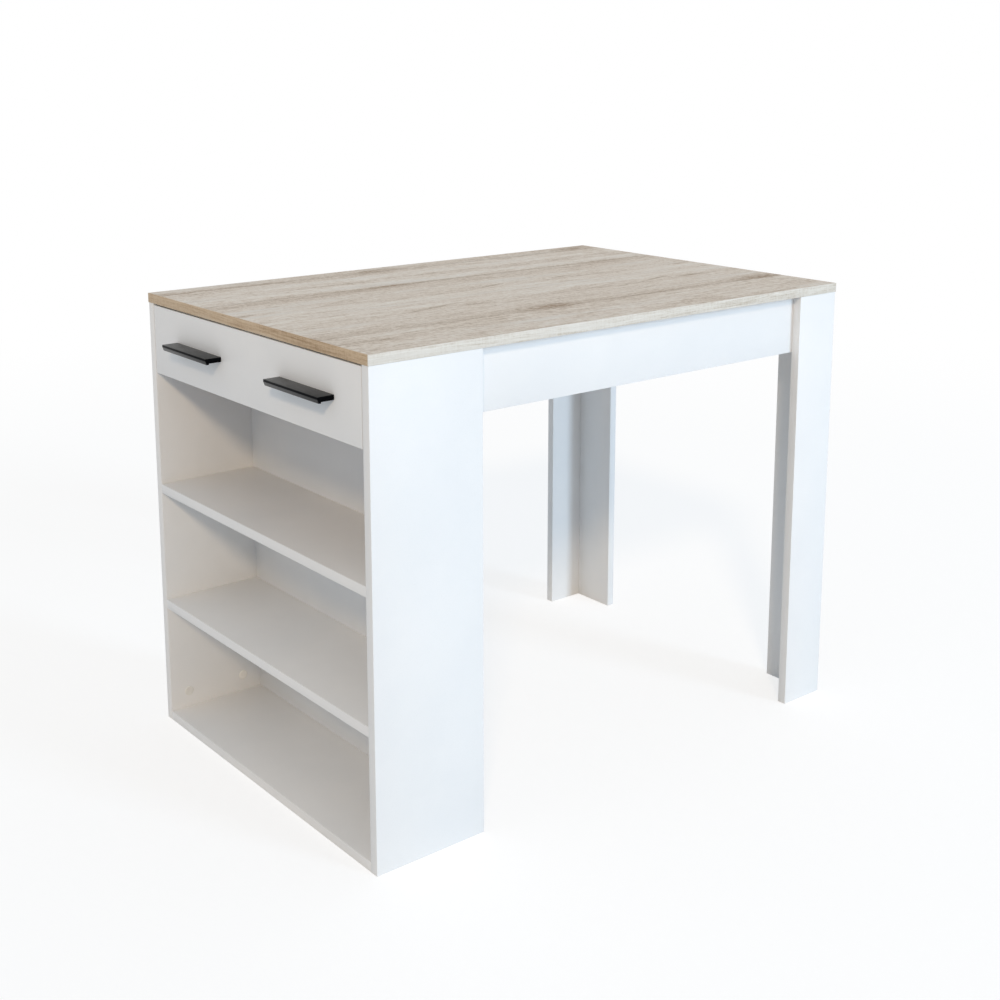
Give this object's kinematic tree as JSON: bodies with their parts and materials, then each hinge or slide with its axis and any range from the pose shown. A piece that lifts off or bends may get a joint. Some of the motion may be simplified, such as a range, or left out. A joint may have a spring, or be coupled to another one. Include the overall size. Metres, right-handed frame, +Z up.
{
  "type": "table with end cabinet and drawer",
  "caption": "Rectangular board table: wood-decor top, open shelf cabinet with a sliding drawer and bar handles under one end, L-shaped board legs and aprons at the other.",
  "frame": {"origin": "on the floor, under the centre of the bounding box, which includes the handles", "axes": "+Z up, +X along the table from the open front of the cabinet to the legs, +Y across the table; the drawer opens towards -X"},
  "size_m": [1.027, 0.67, 0.775],
  "materials": {
    "oak_decor": "greyish bleached oak decor foil on chipboard, matt, grain along the table",
    "oak_edge_band": "edge band in the decor of the top, matt",
    "white_board": "chipboard with smooth white melamine, semi-matt, white edge bands",
    "white_hardboard": "thin hardboard, white lacquer on top",
    "black_handle": "satin black lacquer",
    "white_plastic": "white moulded plastic",
    "beech": "raw beech, fluted",
    "zinc_alloy": "die-cast zinc alloy",
    "zinc_plated_steel": "bright zinc-plated steel",
    "steel_ball": "polished bearing steel"
  },
  "bodies": {
    "table": {"apron_cam_bolts": "zinc_plated_steel", "apron_cams": "zinc_alloy", "apron_dowels": "beech", "apron_end": "white_board", "apron_left": "white_board", "apron_right": "white_board", "apron_screws": "zinc_plated_steel", "back_cam_bolts": "zinc_plated_steel", "back_cams": "zinc_alloy", "back_dowels": "beech", "bottom_shelf": "white_board", "bracket_screws": "zinc_plated_steel", "cabinet_back": "white_board", "cabinet_rail_left": "zinc_plated_steel", "cabinet_rail_right": "zinc_plated_steel", "cabinet_rail_screws": "zinc_plated_steel", "cabinet_side_left": "white_board", "cabinet_side_right": "white_board", "leg_dowels": "beech", "leg_left_end_board": "white_board", "leg_left_side_board": "white_board", "leg_right_end_board": "white_board", "leg_right_side_board": "white_board", "lower_shelf": "white_board", "shelf_cam_bolts": "zinc_plated_steel", "shelf_cams": "zinc_alloy", "shelf_dowels": "beech", "side_cover_caps": "white_plastic", "table_top": "oak_decor", "top_brackets": "zinc_plated_steel", "top_dowels": "beech", "top_long_bands": "oak_edge_band", "top_short_bands": "oak_edge_band", "upper_shelf": "white_board"},
    "drawer": {"drawer_back": "white_board", "drawer_back_screws": "zinc_plated_steel", "drawer_bottom": "white_hardboard", "drawer_cam_bolts": "zinc_plated_steel", "drawer_cams": "zinc_alloy", "drawer_dowels": "beech", "drawer_front": "white_board", "drawer_rail_left": "zinc_plated_steel", "drawer_rail_right": "zinc_plated_steel", "drawer_rail_screws": "zinc_plated_steel", "drawer_side_left": "white_board", "drawer_side_right": "white_board", "handle_left": "black_handle", "handle_right": "black_handle", "handle_screws": "zinc_plated_steel"},
    "left_cage": {"ball_cage_left": "zinc_plated_steel", "cage_balls_left": "steel_ball"},
    "right_cage": {"ball_cage_right": "zinc_plated_steel", "cage_balls_right": "steel_ball"}
  },
  "joints": [
    {"name": "drawer_slide", "type": "slide", "parent": "table", "child": "drawer", "axis": [-1, 0, 0], "range_m": [0, 0.105]},
    {"name": "left_cage_slide", "type": "slide", "parent": "table", "child": "left_cage", "axis": [-1, 0, 0], "range_m": [0, 0.0525]},
    {"name": "right_cage_slide", "type": "slide", "parent": "table", "child": "right_cage", "axis": [-1, 0, 0], "range_m": [0, 0.0525]}
  ],
  "couplings": [
    {"joint": "left_cage_slide", "follows": "drawer_slide", "ratio": 0.5},
    {"joint": "right_cage_slide", "follows": "drawer_slide", "ratio": 0.5}
  ]
}
